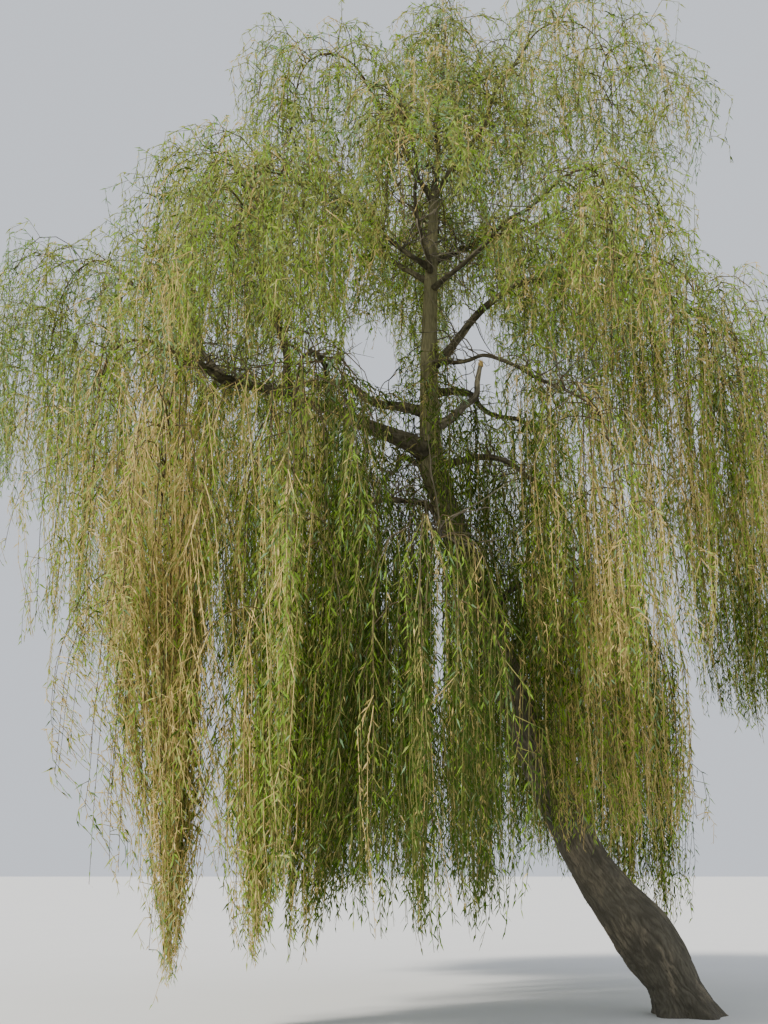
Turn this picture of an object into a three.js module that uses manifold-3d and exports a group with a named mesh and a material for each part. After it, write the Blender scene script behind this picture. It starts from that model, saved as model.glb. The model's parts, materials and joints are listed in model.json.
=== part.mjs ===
// A grown weeping willow. Its trunk leans out from the foot, then turns upright and carries boughs,
// and from the tip of each bough hangs one mass of foliage: a stem that arches over and falls, twigs that
// leave it all round and fall beside it, and long narrow sprays of leaves along the twigs.
// Millimetres, +Z up, origin in the flat cut under the trunk. The trunk leans towards -X.
import * as THREE from "three";
import { mergeVertices } from "three/addons/utils/BufferGeometryUtils.js";
import Module from "manifold-3d";

const wasm = await Module();
wasm.setup();

// Trunk: the line of its heart as x, y, z, and its radius at heights above the ground.
const TRUNK_LINE = [
  [0, 0, 0],
  [-140, 10, 300],
  [-430, 40, 820],
  [-930, 90, 1480],
  [-1520, 150, 2740],
  [-2290, 160, 5050],
  [-2720, 60, 6400],
  [-2770, 0, 7300],
  [-2710, 0, 9500],
  [-2660, 20, 10450],
];
const TRUNK_RADII = [
  [0, 335],
  [300, 290],
  [600, 335],
  [850, 342],
  [1200, 280],
  [1600, 235],
  [2740, 215],
  [5050, 180],
  [6400, 158],
  [7100, 122],
  [8400, 100],
  [10450, 58],
];
const TRUNK_RINGS = 18;
const TRUNK_SIDES = 12;
const TRUNK_EASE = 1.3; // above 1, the rings stand closer together near the foot
const FLARE = { swell: 55, height: 160, lobes: 5, lobeDepth: 0.13, turned: Math.PI / 2 };
const UPRIGHT_BELOW = 900; // the lowest rings turn from level to square with the trunk over this length

// Limbs are six-sided and taper from the root to the tip.
const LIMB_SIDES = 6;
const LIMB_RINGS = 5;
const LIMB_TAPER = 0.8; // below 1, a limb loses more of its thickness near its root
const GROWTH = 0.5; // how much fatter a limb is made to cut its neighbour clear
const TIP_GAP = 0.3; // between a bough's tip and the stem that carries on from it

// Every twig turns from its first slope to straight down. HOLD above 1 keeps the first slope for longer.
const HOLD = 1.6;
const STEP = 60;
const GOLDEN_ANGLE = 2.39996;
const LOWEST_LEAF = 130; // foliage keeps this far above the ground
const LINE_EASE = 1.35; // above 1, the points of a stem or twig stand closer together near its root
const STEM = { sides: 4, rings: 8, tipRadius: 9, taper: 0.6, shareOfFall: 0.7 };
const TWIG = { perMass: 4, tries: 60, sides: 3, rings: 4, rootRadius: 16, tipRadius: 8, shortest: 900 };
const TWIG_ROOTS = [0.06, 0.6]; // shares of the stem's length between which the twigs leave it
const TWIG_SLOPES = [0.1, 0.8]; // radians above level at the root
const TWIG_BENDS = [0.25, 0.7]; // shares of the mass's spread
const TWIG_STOPS = 0.4; // the shortest twigs stop this share of the way up from the mass's foot
const SPRAY = { spacing: 1800, length: 1450, width: 280, thickness: 28, sunk: 16, splay: 0.6 };
const SPRAY_WIDEST = -0.25; // the place of a spray's greatest width, from -1 at its root to 1 at its tip
const SPRAY_ROOM = 0.8; // the share of a spray's length kept below the longest twigs
const SPRAY_ROOTS = [0.2, 0.985]; // shares of the twig's length between which the sprays leave it
const SPINE_STRETCHES = 10; // a mass's spine follows its stem in this many straight stretches
const SPACE_MARGIN = 60; // a point this much nearer to its own mass than to any other is inside its space
const LIMB_CLEARANCE = 25; // between foliage and every limb
const SIMPLIFY = 1.5; // slivers thinner than this are taken out where sprays join their twigs

// Where the crown is open: from the viewer, a line that crosses the plane y = 0 inside one of these ellipses
// meets no leaves.
const VIEWER = new THREE.Vector3(-3360, -13180, 1600);
const GAPS = [
  { x: -2180, z: 7900, halfWidth: 300, halfHeight: 800 },
  { x: -3450, z: 8000, halfWidth: 380, halfHeight: 520 },
  { x: -5380, z: 3400, halfWidth: 170, halfHeight: 700 },
  { x: -2690, z: 3950, halfWidth: 90, halfHeight: 380 },
];

// One row for each bough: the limb it grows from and how far along, its tip, how far its middle is lifted,
// its radius at root and tip, and the mass of foliage on it: how slowly its stem bends over, how low it
// hangs and how far its twigs reach from the stem.
const BOUGHS = [
  ["bough_left", "trunk", 0.65, [-6250, -450, 7900], 0, 112, 34, [560, 2900, 1500]],
  ["bough_left_rise", "bough_left", 0.5, [-5150, -600, 10150], -250, 62, 24, [550, 6400, 1500]],
  ["bough_left_far", "bough_left", 0.74, [-7200, 500, 9600], 150, 46, 20, [650, 5800, 1400]],
  ["bough_left_front", "bough_left", 0.36, [-4250, -1700, 7150], 250, 50, 20, [560, 400, 1400]],
  ["bough_left_drop", "bough_left", 0.7, [-5650, -1250, 7250], 60, 40, 20, [420, 250, 1200]],
  ["bough_left_back", "trunk", 0.7, [-5700, 2600, 8700], 150, 70, 22, [800, 3700, 1900]],
  ["bough_back", "trunk", 0.6, [-3400, 3300, 7300], 350, 72, 22, [800, 1500, 1900]],
  ["bough_back_right", "trunk", 0.725, [-900, 3100, 8000], 250, 64, 22, [800, 1300, 1900]],
  ["bough_right_low", "trunk", 0.63, [-1200, -450, 5650], 420, 52, 20, [450, 1650, 1300]],
  ["bough_right", "trunk", 0.755, [-60, -250, 9300], 400, 66, 24, [750, 4300, 1600]],
  ["bough_right_far", "bough_right", 0.62, [1350, 900, 8900], 350, 40, 18, [850, 2900, 1700]],
  ["bough_right_thin", "trunk", 0.765, [-1100, -1500, 6700], 180, 34, 16, [550, 3000, 1300]],
  ["bough_front", "trunk", 0.5, [-2850, -2400, 4700], 250, 46, 20, [480, 700, 1400]],
  ["bough_low_left", "trunk", 0.57, [-3850, -200, 5650], 250, 48, 20, [420, 850, 1300]],
  ["bough_low_back", "trunk", 0.53, [-2500, 1650, 5700], 250, 46, 20, [500, 650, 1400]],
  ["bough_low_right", "trunk", 0.45, [-450, 1250, 5300], 300, 46, 20, [550, 600, 1400]],
  ["leader_left", "trunk", 0.985, [-3650, -300, 12100], 0, 42, 20, [800, 8700, 1500]],
  ["leader_middle", "trunk", 0.999, [-2450, 250, 13350], 0, 44, 20, [800, 10400, 1500]],
  ["leader_right", "trunk", 0.99, [-1350, -350, 12600], 0, 42, 20, [850, 9300, 1600]],
  ["leader_back", "trunk", 0.93, [-2450, 2100, 11900], 0, 40, 20, [850, 8500, 1700]],
  ["leader_front", "trunk", 0.88, [-3050, -1900, 10000], 0, 36, 18, [600, 7700, 1400]],
  ["bough_upper_left", "trunk", 0.89, [-4500, -2000, 9300], 100, 42, 20, [650, 6200, 1600]],
  ["bough_upper_back_left", "trunk", 0.87, [-4850, 1100, 11150], 0, 44, 20, [800, 7600, 1700]],
  ["bough_upper_back_right", "trunk", 0.9, [-900, 1600, 11000], 0, 42, 20, [800, 7000, 1700]],
  ["bough_upper_right", "trunk", 0.86, [-1300, -1900, 9300], 0, 40, 20, [650, 6700, 1500]],
].map(([name, parent, at, tip, lift, rootRadius, tipRadius, [bend, foot, spread]]) => {
  const end = new THREE.Vector3(...tip);
  return { name, parent, at, tip: end, lift, rootRadius, tipRadius, bend, foot, spread };
});

// The broken stub above the fork: its bend and its blunt end.
const DEAD_STUB = {
  parent: "trunk",
  at: 0.682,
  elbow: new THREE.Vector3(-2100, -60, 7200),
  end: new THREE.Vector3(-2100, -90, 7780),
  rootRadius: 70,
  endRadius: 31,
};

const bark = new THREE.MeshStandardMaterial({ color: 0x6a5a49, roughness: 0.95, metalness: 0 });
const deadWood = new THREE.MeshStandardMaterial({ color: 0x8a7f72, roughness: 0.95, metalness: 0 });
const foliage = new THREE.MeshStandardMaterial({ color: 0x8c9440, roughness: 0.75, metalness: 0 });

const UP = new THREE.Vector3(0, 0, 1);
const mix = THREE.MathUtils.lerp;

// The same fraction between 0 and 1 each time for the same number.
function fraction(n) {
  const wave = Math.sin(n * 12.9898 + 4.1414) * 43758.5453;
  return wave - Math.floor(wave);
}

// Reads a table of [height, value] rows at any height.
function readTable(rows, height) {
  const next = rows.findIndex(([h]) => h >= height);
  if (next === 0) return rows[0][1];
  if (next < 0) return rows.at(-1)[1];
  const [lowHeight, lowValue] = rows[next - 1];
  const [highHeight, highValue] = rows[next];
  return mix(lowValue, highValue, (height - lowHeight) / (highHeight - lowHeight));
}

// A closed manifold-3d solid from a geometry, with only its positions kept.
function solidOf(geometry) {
  const bare = new THREE.BufferGeometry();
  bare.setAttribute("position", geometry.getAttribute("position"));
  bare.setIndex(geometry.index);
  const merged = mergeVertices(bare, 1e-3);
  const mesh = new wasm.Mesh({
    numProp: 3,
    vertProperties: new Float32Array(merged.attributes.position.array),
    triVerts: new Uint32Array(merged.index.array),
  });
  return new wasm.Manifold(mesh);
}

function geometryOf(solid) {
  const mesh = solid.getMesh();
  const geometry = new THREE.BufferGeometry();
  geometry.setAttribute("position", new THREE.BufferAttribute(mesh.vertProperties, 3));
  geometry.setIndex(new THREE.BufferAttribute(mesh.triVerts, 1));
  geometry.computeVertexNormals();
  return geometry;
}

// A closed tube: a capped cylinder whose rings are carried to the points, square with the directions given.
function tube(points, directions, sides, radiusAt, sideways) {
  const rings = points.length - 1;
  const geometry = new THREE.CylinderGeometry(1, 1, 1, sides, rings);
  const position = geometry.attributes.position;
  const frames = directions.map((along) => {
    const across = sideways.clone().addScaledVector(along, -sideways.dot(along)).normalize();
    return { across, over: new THREE.Vector3().crossVectors(along, across) };
  });
  const vertex = new THREE.Vector3();
  for (let i = 0; i < position.count; i++) {
    vertex.fromBufferAttribute(position, i);
    const ring = Math.round((0.5 - vertex.y) * rings);
    const turn = Math.atan2(vertex.z, vertex.x);
    const radius = radiusAt(ring, turn);
    const { across, over } = frames[ring];
    const { x, z } = vertex;
    vertex.copy(points[ring]).addScaledVector(across, x * radius).addScaledVector(over, z * radius);
    position.setXYZ(i, vertex.x, vertex.y, vertex.z);
  }
  return geometry;
}

function directionsAlong(points) {
  return points.map((_, i) => {
    const before = points[Math.max(i - 1, 0)];
    const after = points[Math.min(i + 1, points.length - 1)];
    return new THREE.Vector3().subVectors(after, before).normalize();
  });
}

// The trunk, with lobes of root flare at its foot and a flat cut at ground level.
function makeTrunk(grown) {
  const share = (i) => Math.pow(i / TRUNK_RINGS, TRUNK_EASE);
  const points = [];
  const directions = [];
  for (let i = 0; i <= TRUNK_RINGS; i++) {
    const point = trunkCurve.getPointAt(share(i));
    const square = THREE.MathUtils.smoothstep(point.z, 0, UPRIGHT_BELOW);
    points.push(point);
    directions.push(UP.clone().lerp(trunkCurve.getTangentAt(share(i)), square).normalize());
  }
  points.at(-1).addScaledVector(UP, grown);
  const radiusAt = (ring, turn) => {
    const height = points[ring].z;
    const low = Math.exp(-height / FLARE.height);
    const lobe = 1 + FLARE.lobeDepth * low * Math.cos(FLARE.lobes * turn + FLARE.turned);
    return (readTable(TRUNK_RADII, height) + FLARE.swell * low) * lobe + grown;
  };
  return solidOf(tube(points, directions, TRUNK_SIDES, radiusAt, new THREE.Vector3(0, 1, 0)));
}

// A bough's line is a single arc from its parent's heart to its tip, lifted in the middle.
function boughCurve({ parent, at, tip, lift }) {
  const start = limbs.get(parent).curve.getPointAt(at);
  const middle = start.clone().lerp(tip, 0.5).addScaledVector(UP, lift * 2);
  return new THREE.QuadraticBezierCurve3(start, middle, tip);
}

function limbRadius(limb, share) {
  return mix(limb.rootRadius, limb.tipRadius, Math.pow(share, LIMB_TAPER));
}

function makeLimb(limb, grown) {
  const points = limb.curve.getSpacedPoints(LIMB_RINGS);
  const directions = points.map((_, i) => limb.curve.getTangentAt(i / LIMB_RINGS));
  const chord = new THREE.Vector3().subVectors(points.at(-1), points[0]);
  const sideways = new THREE.Vector3().crossVectors(chord, UP).normalize();
  const radiusAt = (ring) => limbRadius(limb, ring / LIMB_RINGS) + grown;
  return solidOf(tube(points, directions, LIMB_SIDES, radiusAt, sideways));
}

function largestPiece(solid) {
  return solid.decompose().sort((a, b) => b.volume() - a.volume())[0];
}

// Keeps what grows outside the limbs already there.
function clearOf(solid, neighbours) {
  return largestPiece(neighbours.reduce((rest, neighbour) => rest.subtract(neighbour), solid));
}

// The line of a twig that leaves start along heading at a slope, and bends over until it falls to lowest.
function droop(start, heading, slope, bend, lowest) {
  const points = [start.clone()];
  const point = start.clone();
  for (let along = STEP / 2; point.z > lowest; along += STEP) {
    const turned = 1 - Math.exp(-Math.pow(along / bend, HOLD));
    const angle = slope - (slope + Math.PI / 2) * turned;
    point.addScaledVector(heading, Math.cos(angle) * STEP);
    point.z += Math.sin(angle) * STEP;
    points.push(point.clone());
  }
  return points;
}

// Fewer points on the same line, closer together near its root, where it bends.
function thinned(line, rings) {
  return Array.from({ length: rings + 1 }, (_, i) => {
    return line[Math.round(Math.pow(i / rings, LINE_EASE) * (line.length - 1))];
  });
}

// The same points as a path of straight stretches, measured by its length.
function pathOf(points) {
  const path = new THREE.CurvePath();
  for (let i = 1; i < points.length; i++) path.add(new THREE.LineCurve3(points[i - 1], points[i]));
  return path;
}

function distanceToLine(point, line) {
  let nearest = Infinity;
  const segment = new THREE.Line3();
  const foot = new THREE.Vector3();
  for (let i = 1; i < line.length; i++) {
    segment.set(line[i - 1], line[i]).closestPointToPoint(point, true, foot);
    nearest = Math.min(nearest, foot.distanceTo(point));
  }
  return nearest;
}

function inGap(point) {
  const across = -VIEWER.y / (point.y - VIEWER.y);
  const x = mix(VIEWER.x, point.x, across);
  const z = mix(VIEWER.z, point.z, across);
  return GAPS.some((gap) => Math.hypot((x - gap.x) / gap.halfWidth, (z - gap.z) / gap.halfHeight) < 1);
}

// A point is in a mass's space where that mass's spine is within its spread, and nearer than all others.
function isFree(point, mass) {
  const own = distanceToLine(point, mass.spine);
  if (point.z < LOWEST_LEAF || own > mass.spread || inGap(point)) return false;
  return masses.every((other) => other === mass || distanceToLine(point, other.spine) > own + SPACE_MARGIN);
}

function touches(solid, other) {
  return !solid.intersect(other).isEmpty();
}

// One spray of leaves: a long eight-faced blade, widest near its root, which is sunk in its twig.
// Nothing is made where the blade would leave the mass's space, or touch a limb or what grew before it.
function makeSpray(mass, grown, root, direction, across) {
  const { length, width, thickness, sunk } = SPRAY;
  const blade = new THREE.OctahedronGeometry(1);
  const position = blade.attributes.position;
  for (let i = 0; i < position.count; i++) {
    if (Math.abs(position.getY(i)) < 0.5) position.setY(i, SPRAY_WIDEST);
  }
  const sides = across.clone().multiplyScalar(width / 2);
  const axes = new THREE.Matrix4().makeBasis(
    sides,
    direction.clone().multiplyScalar(length / 2),
    new THREE.Vector3().crossVectors(across, direction).multiplyScalar(thickness / 2),
  );
  const centre = root.clone().addScaledVector(direction, length / 2 - sunk);
  blade.applyMatrix4(axes).translate(centre.x, centre.y, centre.z);
  const tip = root.clone().addScaledVector(direction, length - sunk);
  const checks = [tip, centre, centre.clone().add(sides), centre.clone().sub(sides)];
  if (!checks.every((point) => isFree(point, mass))) return [];
  const solid = solidOf(blade);
  return touches(solid, limbShell) || touches(solid, grown) ? [] : [solid];
}

// The sprays along a path, evenly spaced, the last at its end.
function makeSprays(mass, grown, path, turn) {
  const gaps = Math.max(1, Math.round(path.getLength() / SPRAY.spacing) - 1);
  const sprays = [];
  for (let i = 0; i <= gaps; i++) {
    const share = mix(...SPRAY_ROOTS, i / gaps);
    const splay = turn + GOLDEN_ANGLE * i;
    const aside = new THREE.Vector3(Math.cos(splay), Math.sin(splay), 0);
    const direction = path.getTangent(share).sub(UP).addScaledVector(aside, SPRAY.splay).normalize();
    const across = new THREE.Vector3().crossVectors(direction, aside).normalize();
    sprays.push(...makeSpray(mass, grown, path.getPoint(share), direction, across));
  }
  return sprays;
}

// A twig and the sprays along it, or nothing where the twig would leave the mass's space or meet a limb.
function makeTwig(mass, grown, root, seed) {
  const chance = (n) => fraction(mass.index * 50 + seed + n / 10);
  const turn = mass.bearing + GOLDEN_ANGLE * seed;
  const heading = new THREE.Vector3(Math.cos(turn), Math.sin(turn), 0);
  const slope = mix(...TWIG_SLOPES, chance(1));
  const bend = mass.spread * mix(...TWIG_BENDS, chance(2));
  const end = mix(mass.foot + SPRAY.length * SPRAY_ROOM, root.z, TWIG_STOPS * chance(3));
  const line = droop(root, heading, slope, bend, Math.min(end, root.z - TWIG.shortest));
  const points = thinned(line, TWIG.rings);
  if (!points.slice(1).every((point) => isFree(point, mass))) return [];
  const radiusAt = (ring) => mix(TWIG.rootRadius, TWIG.tipRadius, ring / TWIG.rings);
  const sideways = new THREE.Vector3().crossVectors(heading, UP);
  const twig = solidOf(tube(points, directionsAlong(points), TWIG.sides, radiusAt, sideways));
  return touches(twig, limbShell) ? [] : [twig, ...makeSprays(mass, grown, pathOf(points), turn)];
}

// The stem of a mass carries on from its bough's tip, and its twigs leave it in a spiral.
function makeMass(mass) {
  const points = thinned(mass.stemLine, STEM.rings);
  const directions = directionsAlong(points);
  directions[0] = mass.direction;
  const radiusAt = (ring) => mix(mass.tipRadius, STEM.tipRadius, Math.pow(ring / STEM.rings, STEM.taper));
  const sideways = new THREE.Vector3().crossVectors(mass.heading, UP);
  const stem = solidOf(tube(points, directions, STEM.sides, radiusAt, sideways));
  const path = pathOf(points);
  let grown = wasm.Manifold.union([stem, ...makeSprays(mass, limbShell, path, mass.bearing)]);
  let twigs = 0;
  for (let seed = 1; seed <= TWIG.tries && twigs < TWIG.perMass; seed++) {
    const share = mix(...TWIG_ROOTS, fraction(mass.index * 31 + seed));
    const twig = makeTwig(mass, grown, path.getPoint(share), seed);
    if (twig.length < 2) continue;
    grown = wasm.Manifold.union([grown, ...twig]);
    twigs++;
  }
  return largestPiece(grown.simplify(SIMPLIFY));
}

const tree = new THREE.Group();

function addMesh(name, solid, material) {
  const mesh = new THREE.Mesh(geometryOf(solid), material);
  mesh.name = name;
  tree.add(mesh);
}

const trunkCurve = new THREE.CatmullRomCurve3(TRUNK_LINE.map((p) => new THREE.Vector3(...p)));
const limbs = new Map();
limbs.set("trunk", { curve: trunkCurve });
const grownLimbs = [makeTrunk(GROWTH)];
const shells = [makeTrunk(LIMB_CLEARANCE)];
addMesh("trunk", makeTrunk(0), bark);

const stubStart = trunkCurve.getPointAt(DEAD_STUB.at);
const stub = {
  curve: new THREE.QuadraticBezierCurve3(stubStart, DEAD_STUB.elbow, DEAD_STUB.end),
  rootRadius: DEAD_STUB.rootRadius,
  tipRadius: DEAD_STUB.endRadius,
};

for (const bough of BOUGHS) {
  bough.curve = boughCurve(bough);
  limbs.set(bough.name, bough);
  addMesh(bough.name, clearOf(makeLimb(bough, 0), grownLimbs), bark);
  grownLimbs.push(makeLimb(bough, GROWTH));
  shells.push(makeLimb(bough, LIMB_CLEARANCE));
}
addMesh("dead_stub", clearOf(makeLimb(stub, 0), grownLimbs), deadWood);
shells.push(makeLimb(stub, LIMB_CLEARANCE));
const limbShell = wasm.Manifold.union(shells);

const masses = BOUGHS.map((bough, index) => {
  const direction = bough.curve.getTangentAt(1);
  const heading = new THREE.Vector3(direction.x, direction.y, 0).normalize();
  const start = bough.tip.clone().addScaledVector(direction, TIP_GAP);
  const lowest = mix(start.z, bough.foot, STEM.shareOfFall);
  const stemLine = droop(start, heading, Math.asin(direction.z), bough.bend, lowest);
  const end = stemLine.at(-1).clone().setZ(bough.foot);
  return {
    ...bough,
    name: bough.name.replace("bough", "foliage").replace("leader", "foliage_top"),
    index,
    direction,
    heading,
    bearing: Math.atan2(heading.y, heading.x),
    stemLine,
    spine: [...thinned(stemLine, SPINE_STRETCHES), end],
  };
});
for (const mass of masses) addMesh(mass.name, makeMass(mass), foliage);

export default tree;
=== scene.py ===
# %% [markdown]
# # A weeping willow from a handful of rules
#
# This lesson dresses a plain model of a weeping willow. The plain model gives every limb its place, and it
# marks out a space for each mass of foliage. Here the trunk and boughs get their bark, and each mass grows
# again as branches, hanging strands and narrow leaves. Everything is worked out with numpy as whole arrays
# and handed to Blender once, because a tree has far too many small parts to make one by one.

# %% Load the model of the tree
import json

import bpy
import numpy as np
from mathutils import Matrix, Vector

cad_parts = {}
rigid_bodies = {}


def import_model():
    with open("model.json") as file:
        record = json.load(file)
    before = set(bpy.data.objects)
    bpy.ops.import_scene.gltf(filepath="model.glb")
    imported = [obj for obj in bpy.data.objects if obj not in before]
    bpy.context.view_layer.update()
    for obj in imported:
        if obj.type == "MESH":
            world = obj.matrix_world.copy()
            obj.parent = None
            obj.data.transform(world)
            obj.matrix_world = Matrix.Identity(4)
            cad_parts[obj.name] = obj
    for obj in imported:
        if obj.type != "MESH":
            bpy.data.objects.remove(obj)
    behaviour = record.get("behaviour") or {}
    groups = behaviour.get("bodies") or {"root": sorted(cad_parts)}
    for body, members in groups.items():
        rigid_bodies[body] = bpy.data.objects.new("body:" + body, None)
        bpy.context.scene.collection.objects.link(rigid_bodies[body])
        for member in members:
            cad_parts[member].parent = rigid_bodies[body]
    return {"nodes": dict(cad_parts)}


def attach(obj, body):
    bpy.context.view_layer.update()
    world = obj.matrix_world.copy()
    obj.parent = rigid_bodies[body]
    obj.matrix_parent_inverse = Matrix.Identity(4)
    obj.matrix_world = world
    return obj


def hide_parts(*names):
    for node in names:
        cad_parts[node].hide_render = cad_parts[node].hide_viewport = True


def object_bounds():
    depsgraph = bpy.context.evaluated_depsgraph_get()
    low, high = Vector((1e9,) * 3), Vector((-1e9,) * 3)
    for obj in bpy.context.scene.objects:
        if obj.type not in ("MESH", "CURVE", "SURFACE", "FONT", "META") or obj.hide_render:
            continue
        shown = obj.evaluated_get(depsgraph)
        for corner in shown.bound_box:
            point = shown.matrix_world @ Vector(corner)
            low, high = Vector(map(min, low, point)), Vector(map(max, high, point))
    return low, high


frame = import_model()
cad_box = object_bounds()
print("nodes", len(frame["nodes"]), "box", [[round(v, 2) for v in corner] for corner in cad_box])

# %% [markdown]
# ## The numbers that drive the tree
#
# The trunk leans out from the foot and turns upright where the first heavy boughs leave it. Its line is a
# few knots in metres with a smooth curve through them. Each bough has one row: the limb it leaves and how
# far along, where its tip is, how far its middle is lifted, its radius at both ends, and then three numbers
# for the foliage on it: how slowly its stem bends over, how low it hangs and how far it spreads.

# %% Trunk and boughs in metres
TRUNK_LINE = np.array([
    # x, y, z
    [0, 0, 0],
    [-0.14, 0.01, 0.3],
    [-0.43, 0.04, 0.82],
    [-0.93, 0.09, 1.48],
    [-1.52, 0.15, 2.74],
    [-2.29, 0.16, 5.05],
    [-2.72, 0.06, 6.4],
    [-2.77, 0, 7.3],
    [-2.71, 0, 9.5],
    [-2.66, 0.02, 10.45],
])
TRUNK_RADII = np.array([
    # height, radius
    [0, 0.335],
    [0.3, 0.29],
    [0.6, 0.335],
    [0.85, 0.342],
    [1.2, 0.28],
    [1.6, 0.235],
    [2.74, 0.215],
    [5.05, 0.18],
    [6.4, 0.158],
    [7.1, 0.122],
    [8.4, 0.1],
    [10.45, 0.058],
])
FLARE = {"swell": 0.055, "height": 0.16, "lobes": 5, "depth": 0.13, "turned": np.pi / 2}
UPRIGHT_BELOW = 0.9  # the rings turn from level to square with the trunk over this height

BOUGHS = [
    # name, parent, share of the parent's length, tip, lift, radii at root and tip, (bend, foot, spread)
    ("bough_left", "trunk", 0.65, (-6.25, -0.45, 7.9), 0, 0.112, 0.034, (0.56, 2.9, 1.5)),
    ("bough_left_rise", "bough_left", 0.5, (-5.15, -0.6, 10.15), -0.25, 0.062, 0.024, (0.55, 6.4, 1.5)),
    ("bough_left_far", "bough_left", 0.74, (-7.2, 0.5, 9.6), 0.15, 0.046, 0.02, (0.65, 5.8, 1.4)),
    ("bough_left_front", "bough_left", 0.36, (-4.25, -1.7, 7.15), 0.25, 0.05, 0.02, (0.56, 0.4, 1.4)),
    ("bough_left_drop", "bough_left", 0.7, (-5.65, -1.25, 7.25), 0.06, 0.04, 0.02, (0.42, 0.25, 1.2)),
    ("bough_left_back", "trunk", 0.7, (-5.7, 2.6, 8.7), 0.15, 0.07, 0.022, (0.8, 3.7, 1.9)),
    ("bough_back", "trunk", 0.6, (-3.4, 3.3, 7.3), 0.35, 0.072, 0.022, (0.8, 1.5, 1.9)),
    ("bough_back_right", "trunk", 0.725, (-0.9, 3.1, 8.0), 0.25, 0.064, 0.022, (0.8, 1.3, 1.9)),
    ("bough_right_low", "trunk", 0.63, (-1.2, -0.45, 5.65), 0.42, 0.052, 0.02, (0.45, 1.65, 1.3)),
    ("bough_right", "trunk", 0.755, (-0.06, -0.25, 9.3), 0.4, 0.066, 0.024, (0.75, 4.3, 1.6)),
    ("bough_right_far", "bough_right", 0.62, (1.35, 0.9, 8.9), 0.35, 0.04, 0.018, (0.85, 2.9, 1.7)),
    ("bough_right_thin", "trunk", 0.765, (-1.1, -1.5, 6.7), 0.18, 0.034, 0.016, (0.55, 3.0, 1.3)),
    ("bough_front", "trunk", 0.5, (-2.85, -2.4, 4.7), 0.25, 0.046, 0.02, (0.48, 0.7, 1.4)),
    ("bough_low_left", "trunk", 0.57, (-3.85, -0.2, 5.65), 0.25, 0.048, 0.02, (0.42, 0.85, 1.3)),
    ("bough_low_back", "trunk", 0.53, (-2.5, 1.65, 5.7), 0.25, 0.046, 0.02, (0.5, 0.65, 1.4)),
    ("bough_low_right", "trunk", 0.45, (-0.45, 1.25, 5.3), 0.3, 0.046, 0.02, (0.55, 0.6, 1.4)),
    ("leader_left", "trunk", 0.985, (-3.65, -0.3, 12.1), 0, 0.042, 0.02, (0.8, 8.7, 1.5)),
    ("leader_middle", "trunk", 0.999, (-2.45, 0.25, 13.35), 0, 0.044, 0.02, (0.8, 10.4, 1.5)),
    ("leader_right", "trunk", 0.99, (-1.35, -0.35, 12.6), 0, 0.042, 0.02, (0.85, 9.3, 1.6)),
    ("leader_back", "trunk", 0.93, (-2.45, 2.1, 11.9), 0, 0.04, 0.02, (0.85, 8.5, 1.7)),
    ("leader_front", "trunk", 0.88, (-3.05, -1.9, 10.0), 0, 0.036, 0.018, (0.6, 7.7, 1.4)),
    ("bough_upper_left", "trunk", 0.89, (-4.5, -2.0, 9.3), 0.1, 0.042, 0.02, (0.65, 6.2, 1.6)),
    ("bough_upper_back_left", "trunk", 0.87, (-4.85, 1.1, 11.15), 0, 0.044, 0.02, (0.8, 7.6, 1.7)),
    ("bough_upper_back_right", "trunk", 0.9, (-0.9, 1.6, 11.0), 0, 0.042, 0.02, (0.8, 7.0, 1.7)),
    ("bough_upper_right", "trunk", 0.86, (-1.3, -1.9, 9.3), 0, 0.04, 0.02, (0.65, 6.7, 1.5)),
]
DEAD_STUB = {"at": 0.682, "elbow": (-2.1, -0.06, 7.2), "end": (-2.1, -0.09, 7.78), "radii": (0.07, 0.031)}

UP = np.array([0.0, 0.0, 1.0])
GOLDEN_ANGLE = 2.39996
print("boughs", len(BOUGHS))

# %% [markdown]
# ## Lines
#
# A limb is a line with a radius. Three kinds of line make the whole tree. The trunk is a smooth curve
# through its knots. A bough is one arc. A branch or strand droops: it leaves its parent at some slope and
# turns towards straight down, slowly at first and then faster, which is how the weight of a long thin shoot
# bends it. All the drooping lines of one order are worked out together, as one array with a row for each.


# %% Curves for trunk and boughs
def smooth_line(knots, per_span=24):
    """A centripetal Catmull-Rom line: between two knots a cubic, whose slopes at its ends come from the
    neighbouring knots, weighed by the square roots of the distances between them."""
    padded = np.vstack([2 * knots[0] - knots[1], knots, 2 * knots[-1] - knots[-2]])
    gap = np.sqrt(np.linalg.norm(np.diff(padded, axis=0), axis=1))[:, None]
    p0, p1, p2, p3 = padded[:-3], padded[1:-2], padded[2:-1], padded[3:]
    g0, g1, g2 = gap[:-2], gap[1:-1], gap[2:]
    leave = ((p1 - p0) / g0 - (p2 - p0) / (g0 + g1) + (p2 - p1) / g1) * g1
    arrive = ((p2 - p1) / g1 - (p3 - p1) / (g1 + g2) + (p3 - p2) / g2) * g1
    t = np.linspace(0, 1, per_span, endpoint=False)[:, None, None]
    spans = (
        (2 * t**3 - 3 * t**2 + 1) * p1
        + (t**3 - 2 * t**2 + t) * leave
        + (3 * t**2 - 2 * t**3) * p2
        + (t**3 - t**2) * arrive
    )
    return np.vstack([spans.transpose(1, 0, 2).reshape(-1, 3), knots[-1]])


def arc(start, middle, end, count=60):
    """A quadratic Bezier: (1-t) squared of the start, 2t(1-t) of the middle and t squared of the end."""
    t = np.linspace(0, 1, count)[:, None]
    return (1 - t) ** 2 * start + 2 * t * (1 - t) * middle + t**2 * end


def places_along(line, shares):
    """Points at shares of the line's length, straight between the line's own points."""
    steps = np.linalg.norm(np.diff(line, axis=0), axis=1)
    length = np.concatenate([[0], np.cumsum(steps)])
    wanted = np.asarray(shares) * length[-1]
    return np.stack([np.interp(wanted, length, line[:, k]) for k in range(3)], axis=-1)


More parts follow.
